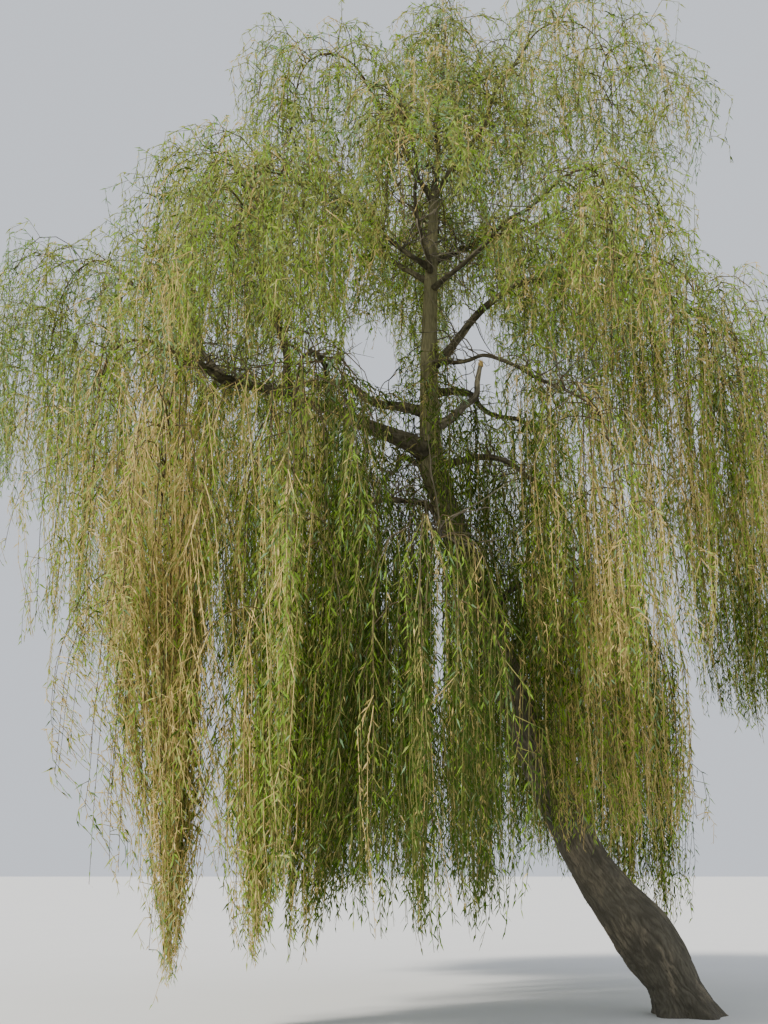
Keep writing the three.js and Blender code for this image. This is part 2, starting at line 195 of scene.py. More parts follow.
def unit(vectors):
    """The vectors at length one."""
    return vectors / np.maximum(np.linalg.norm(vectors, axis=-1, keepdims=True), 1e-9)


def mix(a, b, share):
    """a at share 0, b at share 1, straight between them."""
    return a + (b - a) * share


def smoothstep(low, high, value):
    """0 below low and 1 above high, with 3t squared minus 2t cubed between them."""
    t = np.clip((value - low) / (high - low), 0, 1)
    return t * t * (3 - 2 * t)


trunk_line = smooth_line(TRUNK_LINE)
print("trunk line", len(trunk_line), "points")

# %% Drooping lines, many at once
HOLD = 1.6  # above 1, a shoot keeps its first slope for longer before it gives way
FINE_STEP = 0.05
EASE = 1.35  # above 1, the points of a line stand closer together near its root


def droop(start, heading, slope, bend, lowest, points):
    """Lines that leave start along heading at a slope and turn to straight down. After a length s the angle
    is slope - (slope + 90 degrees) * (1 - exp(-(s / bend) ** HOLD)). Each ends where it falls to lowest,
    and its points stand at (i / points) ** EASE of its length."""
    reach = float(np.max(start[:, 2] - lowest) + 2 * np.max(bend) + 1)
    steps = int(reach / FINE_STEP) + 1
    s = (np.arange(steps) + 0.5) * FINE_STEP
    turned = 1 - np.exp(-((s[None] / bend[:, None]) ** HOLD))
    angle = slope[:, None] - (slope[:, None] + np.pi / 2) * turned
    out = np.cumsum(np.cos(angle), axis=1) * FINE_STEP
    rise = np.cumsum(np.sin(angle), axis=1) * FINE_STEP
    out = np.pad(out, ((0, 0), (1, 0)))
    rise = np.pad(rise, ((0, 0), (1, 0)))
    below = start[:, None, 2] + rise <= lowest[:, None]
    last = np.where(below.any(axis=1), below.argmax(axis=1), steps)
    place = np.linspace(0, 1, points + 1) ** EASE * last[:, None]
    before = np.minimum(place.astype(int), steps - 1)
    share = place - before
    rows = np.arange(len(start))[:, None]
    reach_out = mix(out[rows, before], out[rows, before + 1], share)
    height = mix(rise[rows, before], rise[rows, before + 1], share)
    line = start[:, None] + heading[:, None] * reach_out[..., None]
    line[..., 2] += height
    return line, last * FINE_STEP


def headings_of(turns):
    """Level unit vectors at the given turns."""
    return np.stack([np.cos(turns), np.sin(turns), np.zeros_like(turns)], axis=-1)


def on_lines(lines, index, share, ease=EASE):
    """The place on line number index at a share of its length, and the direction there."""
    points = lines.shape[1] - 1
    place = share ** (1 / ease) * points
    before = np.minimum(place.astype(int), points - 1)
    first = lines[index, before]
    second = lines[index, before + 1]
    return mix(first, second, (place - before)[:, None]), unit(second - first)


print("droop keeps its slope for", HOLD)

# %% [markdown]
# ## Meshes from arrays
#
# Blender is quick when a mesh arrives as flat arrays, and slow when it is made face by face. One function
# here takes vertices and groups of faces with the same number of corners. A tube is rings of vertices
# carried along a line. All the tubes of one kind are made in a single call, so that a thousand strands cost
# no more work in Python than one.


# %% One mesh from arrays
def new_piece(name, vertices, groups, finish, smooth=True, shade=None):
    """A mesh object from vertices and arrays of faces, with the values in shade on its points."""
    vertices = np.asarray(vertices, dtype=np.float32).reshape(-1, 3)
    corners = np.concatenate([np.asarray(g).ravel() for g in groups]).astype(np.int32)
    sizes = np.concatenate([np.full(len(g), np.shape(g)[1]) for g in groups])
    starts = np.concatenate([[0], np.cumsum(sizes)[:-1]]).astype(np.int32)
    mesh = bpy.data.meshes.new(name)
    mesh.vertices.add(len(vertices))
    mesh.vertices.foreach_set("co", vertices.ravel())
    mesh.loops.add(len(corners))
    mesh.loops.foreach_set("vertex_index", corners)
    mesh.polygons.add(len(sizes))
    mesh.polygons.foreach_set("loop_start", starts)
    mesh.polygons.foreach_set("use_smooth", np.full(len(sizes), smooth))
    mesh.materials.append(finish)
    if shade is not None:
        attribute = mesh.attributes.new("shade", "FLOAT", "POINT")
        attribute.data.foreach_set("value", np.asarray(shade, dtype=np.float32).ravel())
    mesh.update(calc_edges=True)
    piece = bpy.data.objects.new(name, mesh)
    bpy.context.scene.collection.objects.link(piece)
    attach(piece, "root")
    return piece


def ring_faces(tubes, rings, sides):
    """Quads round every tube, and one cap at each end, all facing out."""
    base = np.arange(tubes)[:, None, None] * (rings * sides)
    ring = np.arange(rings - 1)[None, :, None] * sides
    side = np.arange(sides)[None, None]
    next_side = (side + 1) % sides
    quads = np.stack([
        base + ring + side,
        base + ring + next_side,
        base + ring + sides + next_side,
        base + ring + sides + side,
    ], axis=-1)
    first_cap = np.arange(tubes)[:, None] * (rings * sides) + np.arange(sides)[::-1]
    last_cap = np.arange(tubes)[:, None] * (rings * sides) + (rings - 1) * sides + np.arange(sides)
    return [quads.reshape(-1, 4), first_cap, last_cap]


def rings_round(line, along, sideways, angle, radius):
    """Rings round one line: a point plus radius * (cos(angle) * across + sin(angle) * over), where across is
    the sideways direction made square with the line's, and over is square with both."""
    across = unit(sideways - along * (along @ sideways)[:, None])
    over = np.cross(along, across)
    spoke = across[:, None] * np.cos(angle)[..., None] + over[:, None] * np.sin(angle)[..., None]
    return line[:, None] + radius[..., None] * spoke


def sweep(lines, radii, sides, sideways):
    """The same for many lines at once, all with the same number of points and sides."""
    along = unit(np.gradient(lines, axis=1))
    aside = sideways[:, None]
    across = unit(aside - along * np.sum(aside * along, axis=-1, keepdims=True))
    over = np.cross(along, across)
    a = np.arange(sides) * 2 * np.pi / sides
    spoke = across[:, :, None] * np.cos(a)[:, None] + over[:, :, None] * np.sin(a)[:, None]
    return lines[:, :, None] + spoke * radii[:, :, None, None]


def triangle_count(piece):
    """How many triangles the piece's faces make."""
    sizes = np.empty(len(piece.data.polygons), dtype=np.int32)
    piece.data.polygons.foreach_get("loop_total", sizes)
    return int(np.sum(sizes - 2))


print("a test tube has", sum(len(g) for g in ring_faces(1, 9, 3)), "faces")

# %% [markdown]
# ## Finishes
#
# Shader maths reads best as sums. The class below wraps one socket, so that `1 - relief * 0.5` adds the Math
# nodes it stands for. Every other node comes from one method that takes its type, settings and inputs.


# %% A socket that can be written in sums
class Wire:
    """An output socket. An operator on it adds a Math node and gives that node's output."""

    def __init__(self, finish, socket):
        self.finish = finish
        self.socket = socket

    def math(self, operation, first, second):
        return self.finish.node("ShaderNodeMath", {"operation": operation}, {0: first, 1: second})

    def __add__(self, other):
        return self.math("ADD", self, other)

    def __rsub__(self, other):
        return self.math("SUBTRACT", other, self)

    def __mul__(self, other):
        return self.math("MULTIPLY", self, other)


class Finish:
    """One material and its nodes."""

    def __init__(self, name):
        self.material = bpy.data.materials.new(name)
        self.material.use_nodes = True
        self.tree = self.material.node_tree
        self.tree.nodes.clear()

    def node(self, kind, settings=None, inputs=None, output=0):
        """Adds a node, sets it, links or fills its inputs, and gives one of its outputs."""
        made = self.tree.nodes.new(kind)
        for key, value in (settings or {}).items():
            setattr(made, key, value)
        for key, value in (inputs or {}).items():
            if isinstance(value, Wire):
                self.tree.links.new(value.socket, made.inputs[key])
            else:
                made.inputs[key].default_value = value
        return Wire(self, made.outputs[output])

    def place(self):
        return self.node("ShaderNodeTexCoord", output="Object")

    def noise(self, where, scale, detail=4.0, roughness=0.6):
        inputs = {"Vector": where, "Scale": scale, "Detail": detail, "Roughness": roughness}
        return self.node("ShaderNodeTexNoise", None, inputs)

    def stretched(self, where, scale):
        return self.node("ShaderNodeMapping", None, {"Vector": where, "Scale": scale})

    def blend(self, share, first, second, kind="MIX"):
        settings = {"data_type": "RGBA", "blend_type": kind, "clamp_factor": True}
        return self.node("ShaderNodeMix", settings, {0: share, 6: first, 7: second}, output=2)

    def spread(self, value, low, high):
        """Moves low to 0 and high to 1, and cuts off what is outside."""
        inputs = {"Value": value, "From Min": low, "From Max": high}
        return self.node("ShaderNodeMapRange", None, inputs)

    def bump(self, height, distance, strength):
        inputs = {"Height": height, "Distance": distance, "Strength": strength}
        return self.node("ShaderNodeBump", None, inputs)

    def surface(self, shader):
        """Ends the tree of nodes in the material's surface."""
        end = self.tree.nodes.new("ShaderNodeOutputMaterial")
        self.tree.links.new(shader.socket, end.inputs["Surface"])
        return self.material


def colour(red, green, blue):
    """A colour socket's value."""
    return (red, green, blue, 1.0)


print("finishes are made by", Finish.__name__)

# %% [markdown]
# ## Bark and leaves
#
# Old willow bark is a net of thick grey ridges with dark furrows between them. The relief is real geometry
# here, so each point of the trunk carries its height in the relief, and the colour follows that: dark in the
# furrows and grey-brown on the ridges, with buff patches. Higher up the bark is younger, greener and
# lighter, and its lightening there is painted sunlight. The boughs' bark is darker than the trunk's, which
# is painted shade. Young shoots are smooth, golden in the sun and green elsewhere: the gold is partly their
# own colour and partly painted sunlight, and the darker green is painted shade. Each leaf tint is one plain
# colour, a little lighter here and darker there. The tints are dealt out strand by strand, so that they
# gather as they do on the tree, and the darkest green among them is painted shade inside and under the
# crown.


# %% Bark, dead wood and shoots
GRAIN_SCALE = (60, 60, 11)  # finer across the limb than along it
PATCH_SCALE = (3.2, 3.2, 1.3)
STAIN_SCALE = 1.7
# The colour of bark high up is multiplied by this: greener as younger bark, and lighter as painted sunlight.
SUNLIT_HIGH_BARK = (1.75, 1.8, 1.25)
SHADED_LEAF = 0.8  # times the tint
BRIGHT_LEAF = 1.18
THROUGH = 0.35  # the share of the light that goes through a leaf


def bark(name, furrow, ridge, patch):
    """Bark coloured by the relief in the shade attribute and by a fine grain, which cracks it further, with
    worn patches of a paler colour and broad stains of a darker one. High up the colour is multiplied by a
    lighter, greener colour: the green is younger bark, and the lightening is painted sunlight."""
    finish = Finish(name)
    relief = finish.node("ShaderNodeAttribute", {"attribute_name": "shade"}, output=2)
    where = finish.place()
    grain = finish.noise(finish.stretched(where, GRAIN_SCALE), 1.0, 7.0, 0.75)
    patches = finish.spread(finish.noise(finish.stretched(where, PATCH_SCALE), 1.0, 4.0), 0.5, 0.66)
    stains = finish.spread(finish.noise(where, STAIN_SCALE, 3.0), 0.42, 0.62)
    height = relief * 0.75 + grain * 0.9
    base = finish.blend(finish.spread(height, 0.45, 1.25), colour(*furrow), colour(*ridge))
    worn = finish.blend(patches * 0.75 * finish.spread(height, 0.6, 1.1), base, colour(*patch))
    stained = finish.blend(stains * 0.35, worn, colour(*furrow))
    level = finish.node("ShaderNodeSeparateXYZ", None, {0: where}, output=2)
    inputs = {
        "Base Color": finish.blend(finish.spread(level, 2.5, 7.0), stained, colour(*SUNLIT_HIGH_BARK), "MULTIPLY"),
        "Roughness": 0.95 - grain * 0.15,
        "Normal": finish.bump(grain, 0.012, 0.9),
        "Specular IOR Level": 0.25,
    }
    return finish.surface(finish.node("ShaderNodeBsdfPrincipled", None, inputs))


def shoot(name, dark, light):
    """Smooth young wood, mottled a little along its length."""
    finish = Finish(name)
    mottle = finish.noise(finish.stretched(finish.place(), (9, 9, 3)), 1.0, 3.0)
    inputs = {
        "Base Color": finish.blend(finish.spread(mottle, 0.3, 0.7), colour(*dark), colour(*light)),
        "Roughness": 0.6,
        "Specular IOR Level": 0.3,
    }
    return finish.surface(finish.node("ShaderNodeBsdfPrincipled", None, inputs))


def leaf(name, tint, through):
    """A matt leaf: most light comes back in its tint, and some goes through in a yellower one."""
    finish = Finish(name)
    share = finish.spread(finish.noise(finish.place(), 7.0, 2.0), 0.3, 0.7)
    darker = colour(*[c * SHADED_LEAF for c in tint])
    lighter = colour(*[c * BRIGHT_LEAF for c in tint])
    front = finish.node("ShaderNodeBsdfPrincipled", None, {
        "Base Color": finish.blend(share, darker, lighter),
        "Roughness": 0.55,
        "Specular IOR Level": 0.2,
    })
    behind = finish.node("ShaderNodeBsdfTranslucent", None, {"Color": colour(*through)})
    both = finish.node("ShaderNodeMixShader", None, {0: THROUGH, 1: front, 2: behind})
    return finish.surface(both)


trunk_bark = bark("trunk bark", (0.062, 0.055, 0.04), (0.132, 0.12, 0.088), (0.3, 0.25, 0.17))
# The boughs' bark is darker than the trunk's: painted shade, for boughs that stand in the crown's shadow.
shaded_bough_bark = bark("bough bark", (0.015, 0.013, 0.01), (0.08, 0.068, 0.06), (0.17, 0.145, 0.12))
dead_wood = bark("dead wood", (0.03, 0.025, 0.024), (0.15, 0.13, 0.135), (0.25, 0.21, 0.2))
torn_wood = bark("torn wood", (0.16, 0.1, 0.05), (0.42, 0.28, 0.15), (0.5, 0.36, 0.2))
branch_wood = shoot("branch wood", (0.05, 0.036, 0.018), (0.13, 0.095, 0.04))
twig_wood = shoot("bare twig wood", (0.06, 0.05, 0.03), (0.2, 0.17, 0.11))
strand_wood = shoot("strand wood", (0.42, 0.3, 0.1), (0.74, 0.56, 0.22))
green_strand_wood = shoot("green strand wood", (0.09, 0.09, 0.02), (0.22, 0.21, 0.05))
TINTS = {
    "fresh": leaf("leaf fresh", (0.22, 0.37, 0.04), (0.4, 0.58, 0.05)),
    "olive": leaf("leaf olive", (0.31, 0.36, 0.1), (0.45, 0.5, 0.09)),
    "gold": leaf("leaf gold", (0.62, 0.48, 0.19), (0.74, 0.58, 0.17)),
    # The darkest tint is painted shade, for leaves inside and under the crown.
    "shade_green": leaf("leaf deep", (0.044, 0.088, 0.008), (0.08, 0.145, 0.006)),
    "cool": leaf("leaf cool", (0.2, 0.33, 0.17), (0.3, 0.45, 0.16)),
}
print("leaf tints", list(TINTS))

# %% [markdown]
# ## The trunk
#
# The trunk is one grid: an angle round it and a share of the way up. Its rings start level at the flat cut
# and turn square with the line as the trunk rises. Five lobes of root flare swell at the foot, and a few
# broad muscles wind up from them, which catch the light. On top of that comes the bark. Its furrows are the
# lines where a smooth random height passes through its middle value. They wander, part and meet again like
# the meshes of a net, and stretching the pattern upwards makes the long plates of an old willow.


# %% Relief of the bark
def waves(angle, height, seed, count, turns, pace):
    """A smooth random height between -1 and 1: a mean of sines whose turns round the limb are whole numbers,
    so that it closes, and whose pace along it and start are random."""
    rng = np.random.default_rng(seed)
    total = np.zeros(np.broadcast(angle, height).shape)
    for _ in range(count):
        around = rng.integers(0, turns + 1)
        total += np.sin(around * angle + rng.uniform(-pace, pace) * height + rng.uniform(0, 2 * np.pi))
    return total / count


def patchwork(angle, height, around, tall, seed):
    """Random values on a lattice with so many cells round the limb, each tall metres high, and between the
    corners of a cell 3t squared minus 2t cubed of the way from one to the next."""
    u = angle * around / (2 * np.pi) + 0 * height
    v = height / tall + 0 * angle
    values = np.random.default_rng(seed).random((int(v.max()) + 2, around))
    left = np.floor(u).astype(int)
    below = np.floor(v).astype(int)
    across = smoothstep(0, 1, u - left)
    up = smoothstep(0, 1, v - below)
    low = mix(values[below, left % around], values[below, (left + 1) % around], across)
    high = mix(values[below + 1, left % around], values[below + 1, (left + 1) % around], across)
    return mix(low, high, up)


def ridges(angle, height, around, tall, seed):
    """Relief between 0 in a furrow and 1 on a plate. Twice the distance of a patchwork from its middle value
    is 0 along a net of lines. Two such nets, the second finer, are widened and laid together, and a fine
    roughness goes on top."""
    turned = angle + TANGLE * (patchwork(angle, height, max(around // 5, 3), tall * 2, seed) - 0.5)
    turned += TANGLE / 2 * (patchwork(angle, height, max(around // 2, 3), tall / 2, seed + 4) - 0.5)
    large = np.abs(2 * patchwork(turned, height, around, tall, seed + 1) - 1)
    small = np.abs(2 * patchwork(turned, height, 2 * around, tall * 0.4, seed + 2) - 1)
    fine = patchwork(angle, height, 4 * around, tall * 0.12, seed + 3) - 0.5
    depth = mix(0.3, 1.0, patchwork(angle, height, max(around // 4, 3), tall * 1.5, seed + 5))
    furrows = 1 - (1 - smoothstep(0, 0.55, large)) * depth
    return np.clip(furrows * mix(0.45, 1.0, smoothstep(0, 0.6, small)) + 0.4 * fine, 0, 1)


TANGLE = 0.4  # radians by which the net of furrows is bent aside
TRUNK_ROWS = 470
TRUNK_COLUMNS = 208
TRUNK_ROW_EASE = 1.4  # above 1, the rings stand closer together near the foot
TRUNK_PLATES = 52
PLATE_HEIGHT = 0.22
TWIST = 0.3  # radians a metre
MUSCLES = 0.06  # of the radius
BARK_DEPTH = 0.029  # for a trunk of radius 1, and less as the square root on a thinner one


def make_trunk():
    """Rings of radius = (height table + flare) * lobes + bark, along the trunk's line."""
    shares = np.linspace(0, 1, TRUNK_ROWS) ** TRUNK_ROW_EASE
    line = places_along(trunk_line, shares)
    along = unit(np.gradient(line, axis=0))
    square = smoothstep(0, UPRIGHT_BELOW, line[:, 2])[:, None]
    along = unit(mix(UP, along, square))
    sideways = np.array([0.0, 1.0, 0.0])
    angle = np.linspace(0, 2 * np.pi, TRUNK_COLUMNS, endpoint=False)[None]
    height = line[:, 2:3]
    low = np.exp(-height / FLARE["height"])
    lobes = 1 + FLARE["depth"] * low * np.cos(FLARE["lobes"] * angle + FLARE["turned"])
    table = np.interp(height, TRUNK_RADII[:, 0], TRUNK_RADII[:, 1])
    wound = angle + TWIST * height
    relief = ridges(wound, height, TRUNK_PLATES, PLATE_HEIGHT, 11)
    muscles = 1 + MUSCLES * np.cos(3 * wound + 1.2) * np.exp(-height / 2.5)
    muscles += MUSCLES * waves(angle, height, seed=5, count=6, turns=3, pace=1.6)
    radius = (table + FLARE["swell"] * low) * lobes * muscles + BARK_DEPTH * table**0.5 * (relief - 0.75)
    rings = rings_round(line, along, sideways, angle, radius)
    rings[0, :, 2] = 0
    rings[..., 2] = np.maximum(rings[..., 2], 0)
    faces = ring_faces(1, TRUNK_ROWS, TRUNK_COLUMNS)
    piece = new_piece("trunk_bark", rings, faces, trunk_bark, shade=relief)
    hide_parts("trunk")
    return piece


print("trunk", triangle_count(make_trunk()), "triangles")

# %% [markdown]
# ## The boughs
#
# A bough of this tree never runs true. It sags, kinks where a side branch has pulled on it, and is thick at
# the collar where it leaves its parent. So each follows the arc of the plain model, with a wander that fades
# to nothing at both ends, and its radius swells at the root. The bark is the same net of ridges, finer, and
# its colours are darker than the trunk's, which is painted shade under the crown.


# %% Boughs with collars
ROW_STEP = 0.025
COLUMN_STEP = 0.011
PLATE_WIDTH = 0.055
WANDER = 0.035  # of the bough's length
COLLAR = 0.55  # of the radius, at the root
KNOTS = 0.12
RIDGES = 0.16


def wandering(line, seed):
    """The line moved aside by slow sines, times sin(pi t), so that its ends stay where they are."""
    rng = np.random.default_rng(seed)
    t = np.linspace(0, 1, len(line))[:, None]
    length = np.linalg.norm(line[-1] - line[0])
    waver = np.zeros_like(line)
    for turns in (1, 2, 3.5):
        waver += np.sin(turns * 2 * np.pi * t + rng.uniform(0, 6.28, 3)) * rng.uniform(-1, 1, 3) / turns
    return line + waver * np.sin(np.pi * t) * WANDER * length


def limb_radius(root, tip, t):
    """The radius from root to tip, falling a little faster near the root."""
    return mix(root, tip, t**0.8)


def bough_mesh(name, line, radii, finish, seed):
    """Rings round the line with a collar at the root, knots and ridges of bark."""
    reach = np.linalg.norm(line[-1] - line[0])
    rows = int(np.clip(reach / ROW_STEP, 40, 170))
    columns = int(np.clip(2 * np.pi * radii[0] / COLUMN_STEP, 16, 48))
    t = np.linspace(0, 1, rows)
    line = places_along(line, t)
    run = t * reach
    angle = np.linspace(0, 2 * np.pi, columns, endpoint=False)[None]
    height = run[:, None]
    plates = max(int(2 * np.pi * radii[0] / PLATE_WIDTH), 5)
    relief = ridges(angle, height, plates, 3 * PLATE_WIDTH, seed)
    base = limb_radius(*radii, t)[:, None]
    collar = 1 + COLLAR * np.exp(-run / (2.6 * radii[0]))[:, None]
    knots = 1 + KNOTS * waves(angle, height * 3, seed + 4, count=6, turns=2, pace=2.5)
    radius = base * collar * knots * (1 + RIDGES * (relief - 0.7))
    along = unit(np.gradient(line, axis=0))
    sideways = unit(np.cross(line[-1] - line[0], UP))
    rings = rings_round(line, along, sideways, angle, radius)
    piece = new_piece(name, rings, ring_faces(1, rows, columns), finish, shade=relief)
    return piece


lines = {"trunk": trunk_line}
tips = {}
for seed, (name, parent, at, tip, lift, root_radius, tip_radius, _) in enumerate(BOUGHS):
    start = places_along(lines[parent], [at])[0]
    end = np.array(tip)
    middle = mix(start, end, 0.5) + UP * 2 * lift
    plain = arc(start, middle, end)
    tips[name] = unit(end - middle)
    lines[name] = wandering(plain, seed + 40)
    piece = bough_mesh(name + "_bark", lines[name], (root_radius, tip_radius), shaded_bough_bark, seed * 10)
    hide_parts(name)
print("boughs", len(tips), "the last with", triangle_count(piece), "triangles")

# %% [markdown]
# ## The dead stub
#
# Above the fork a bough has broken off. What is left runs out level, turns up and ends in pale torn wood. It
# is made as the boughs are, and a ring of splinters stands round its broken end.

# %% The stub and its splinters
SPLINTERS = 16
SPLINTER_POINTS = 4
SPLINTER_SIDES = 5
SPLINTER_RADII = (0.013, 0.0015)
STUB_KNOTS = [0, 0.25, 0.45, 0.62, 0.78, 1]  # shares of its length at which it kinks
STUB_KINKS = [(0, 0, 0), (0, 0, -0.02), (0.01, 0, 0.02), (0.04, 0, -0.02), (-0.012, 0, 0.01), (0, 0, 0)]


def make_stub():
    """The stub's bough, which kinks at its elbow, and splinters round its end, whose radius falls evenly."""
    start = places_along(trunk_line, [DEAD_STUB["at"]])[0]
    end = np.array(DEAD_STUB["end"])
    plain = arc(start, np.array(DEAD_STUB["elbow"]), end)
    line = smooth_line(places_along(plain, STUB_KNOTS) + np.array(STUB_KINKS))
    piece = bough_mesh("dead_stub_bark", line, DEAD_STUB["radii"], dead_wood, 700)
    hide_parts("dead_stub")
    rng = np.random.default_rng(7)
    turns = np.arange(SPLINTERS) * GOLDEN_ANGLE
    away = headings_of(turns)
    ring = np.sqrt((np.arange(SPLINTERS) + 0.5) / SPLINTERS)[:, None] * DEAD_STUB["radii"][1]
    root = end + away * ring * 0.85 - UP * 0.03
    reach = rng.uniform(0.04, 0.12, SPLINTERS)[:, None]
    tip = root + UP * reach + away * 0.01
    t = np.linspace(0, 1, SPLINTER_POINTS)
    splinter_lines = mix(root[:, None], tip[:, None], t[None, :, None])
    radii = mix(*SPLINTER_RADII, t)[None] * np.ones((SPLINTERS, 1))
    rings = sweep(splinter_lines, radii, SPLINTER_SIDES, np.roll(away, 1, axis=0))
    faces = ring_faces(SPLINTERS, SPLINTER_POINTS, SPLINTER_SIDES)
    shade = np.ones(rings.shape[:3])
    splinters = new_piece("dead_stub_splinters", rings, faces, torn_wood, shade=shade)
    return splinters


print("splinters", triangle_count(make_stub()), "triangles")

# %% [markdown]
# ## Where foliage may grow
#
# Every mass of foliage keeps to its own space, or the tree would be one haystack. The rule is the one the
# plain model follows. Each mass has a spine, which runs along the outer part of its bough, over its drooping
# stem and on down to the mass's foot, and a point belongs to the mass whose spine is nearest. Points too far
# from their spine, too near the ground or outside the plain model's box are nobody's. The crown is open in
# a few places. Seen by the viewer these are ellipses on an upright plane through the tree, and what would
# cross them is left out. Two of them are windows on the limbs, and leave out only what hangs in front.
#
# The masses differ. The first curtains narrow towards their foot and draw together there, some masses are
# fuller than the rest, and some arch further out. Each difference is a small table, and a mass that isn't in
# it has the usual value.

# %% Stems, spines and spaces
SPINE_POINTS = 10
STEM_POINTS = 40
BOUGH_POINTS = 13
BARE_BOUGH = 0.2  # the share of a bough, from its root, that stays without foliage
LOWEST_LEAF = 0.16
OVERLAP = 0.35  # how far neighbouring masses may reach into each other
VIEWER = np.array([-3.36, -13.18, 1.6])
FAR = 9  # beyond the whole tree
GAPS = np.array([
    # x, z, half width, half height, and the y behind which nothing is left out
    [-2.18, 7.9, 0.3, 0.8, FAR],
    [-3.45, 8.0, 0.34, 0.45, FAR],
    [-5.38, 3.4, 0.17, 0.7, FAR],
    [-2.69, 3.95, 0.09, 0.38, FAR],
    [-2.72, 9.6, 0.62, 1.7, 0],
    [-5.05, 7.85, 0.9, 0.36, -0.3],
])
SHARE_OF_FALL = 0.7  # of the way from the tip down to the mass's foot, at which the stem ends
# how many metres higher a line ends at the edge of the mass's spread than in its middle
NARROWING = {"bough_left": 6.0, "bough_left_drop": 3.6, "bough_left_front": 1.5, "bough_right_low": 0.3}
# metres in x and y by which the foot of a curtain lies beside its stem's end
FOOT_ASIDE = {"bough_left_drop": (0.3, 0.2)}
# the pull of the curtain's foot on its strands, beside that of their own tress
DRAWN_IN = {"bough_left": 0.3, "bough_left_drop": 1.0, "bough_left_front": 0.6}
# times as many branches and strands as usual
FULLER = {"bough_right_low": 1.8, "bough_left_drop": 2.2, "bough_left_front": 1.5, "leader_middle": 1.4}
# times as far out before a branch has bent over
RISING = {"bough_left_far": 1.5, "leader_left": 0.8, "leader_middle": 1.4, "bough_upper_back_left": 1.2}

names = [row[0] for row in BOUGHS]


def by_mass(special, usual):
    """One value for each mass: its own where the table has one, or else the usual."""
    return np.array([special.get(name, usual) for name in names])


tip = np.array([row[3] for row in BOUGHS])
tip_way = np.array([tips[name] for name in names])
tip_radius = np.array([row[6] for row in BOUGHS])
bend, foot, spread = np.array([row[7] for row in BOUGHS]).T
narrowing = by_mass(NARROWING, 0.8)
drawn_in = by_mass(DRAWN_IN, 0.0)
fuller = by_mass(FULLER, 1.0)
rising = by_mass(RISING, 1.0)
heading = unit(tip_way * [1, 1, 0])
bearing = np.arctan2(heading[:, 1], heading[:, 0])
stem_foot = mix(tip[:, 2], foot, SHARE_OF_FALL)
stems, stem_length = droop(tip, heading, np.arcsin(tip_way[:, 2]), bend, stem_foot, STEM_POINTS)
leafy_shares = np.linspace(BARE_BOUGH, 1, BOUGH_POINTS)
outer_boughs = np.array([places_along(lines[name], leafy_shares) for name in names])
spine_ends = stems[:, -1:] * [1, 1, 0] + foot[:, None, None] * UP
curtain_foot = spine_ends[:, 0, :2] + by_mass(FOOT_ASIDE, (0, 0))
picked = np.linspace(0, STEM_POINTS, SPINE_POINTS + 1).astype(int)
spines = np.concatenate([outer_boughs[:, :-1:4], stems[:, picked], spine_ends], axis=1)


def spine_distances(points):
    """From each point to each spine: the least distance to any of the spine's straight stretches, where the
    foot of the perpendicular is held between the stretch's two ends."""
    first = spines[:, :-1]
    stretch = spines[:, 1:] - first
    size = np.maximum(np.sum(stretch**2, axis=-1), 1e-9)
    found = []
    for some in np.array_split(points, max(1, len(points) // 4000)):
        offset = some[:, None, None] - first
        share = np.clip(np.sum(offset * stretch, axis=-1) / size, 0, 1)
        gap = np.linalg.norm(offset - share[..., None] * stretch, axis=-1)
        found.append(gap.min(axis=-1))
    return np.concatenate(found)


def in_gap(points):
    """True where the sight line from the viewer through the point crosses y = 0 inside an ellipse and the
    point is near enough. Sines make the ellipse's edge ragged and differ with the depth, so that a few
    strands hang across each gap."""
    across = -VIEWER[1] / (points[:, 1] - VIEWER[1])
    x = mix(VIEWER[0], points[:, 0], across)[:, None]
    z = mix(VIEWER[2], points[:, 2], across)[:, None]
    away = np.hypot((x - GAPS[:, 0]) / GAPS[:, 2], (z - GAPS[:, 1]) / GAPS[:, 3])
    ragged = 0.8 + 0.2 * np.sin(9 * x + 5 * z) + 0.15 * np.sin(17 * z - 11 * x)
    ragged += 0.25 * np.sin(7 * points[:, 1:2] + 1)
    return ((away < ragged) & (points[:, 1:2] < GAPS[:, 4])).any(axis=1)


def is_open(points, mass):
    """True where a point is above the ground, inside the box and clear of the gaps. Whose point it is makes
    no difference here."""
    low, high = np.array(cad_box)
    inside = ((points > low) & (points < high)).all(axis=1) & (points[:, 2] > LOWEST_LEAF)
    return inside & ~in_gap(points)


def is_free(points, mass):
    """True where a point is open and in its mass's space."""
    distance = spine_distances(points)
    own = distance[np.arange(len(points)), mass]
    near = (own <= distance.min(axis=1) + OVERLAP) & (own < spread[mass])
    return near & is_open(points, mass)


print("masses", len(names), "stems from", stem_length.min().round(1), "to", stem_length.max().round(1), "m")

# %% [markdown]
# ## Branches and strands
#
# A willow's crown is built in orders. The stem arches over from its bough. Branches leave the stem, and the
# outer part of the bough too, in a spiral and arch over in their turn. From each of them hang the strands,
# thin shoots that fall straight down and carry the leaves. Each order follows the same drooping rule with
# smaller numbers. A branch is kept only where it stays in its mass's space, and a strand where it crosses no
# gap, so more are tried than are needed. In the dome the strands are short and bushy, and in the curtains
# they are long. A few shoots also leave the inner parts of the limbs and the top of the trunk.

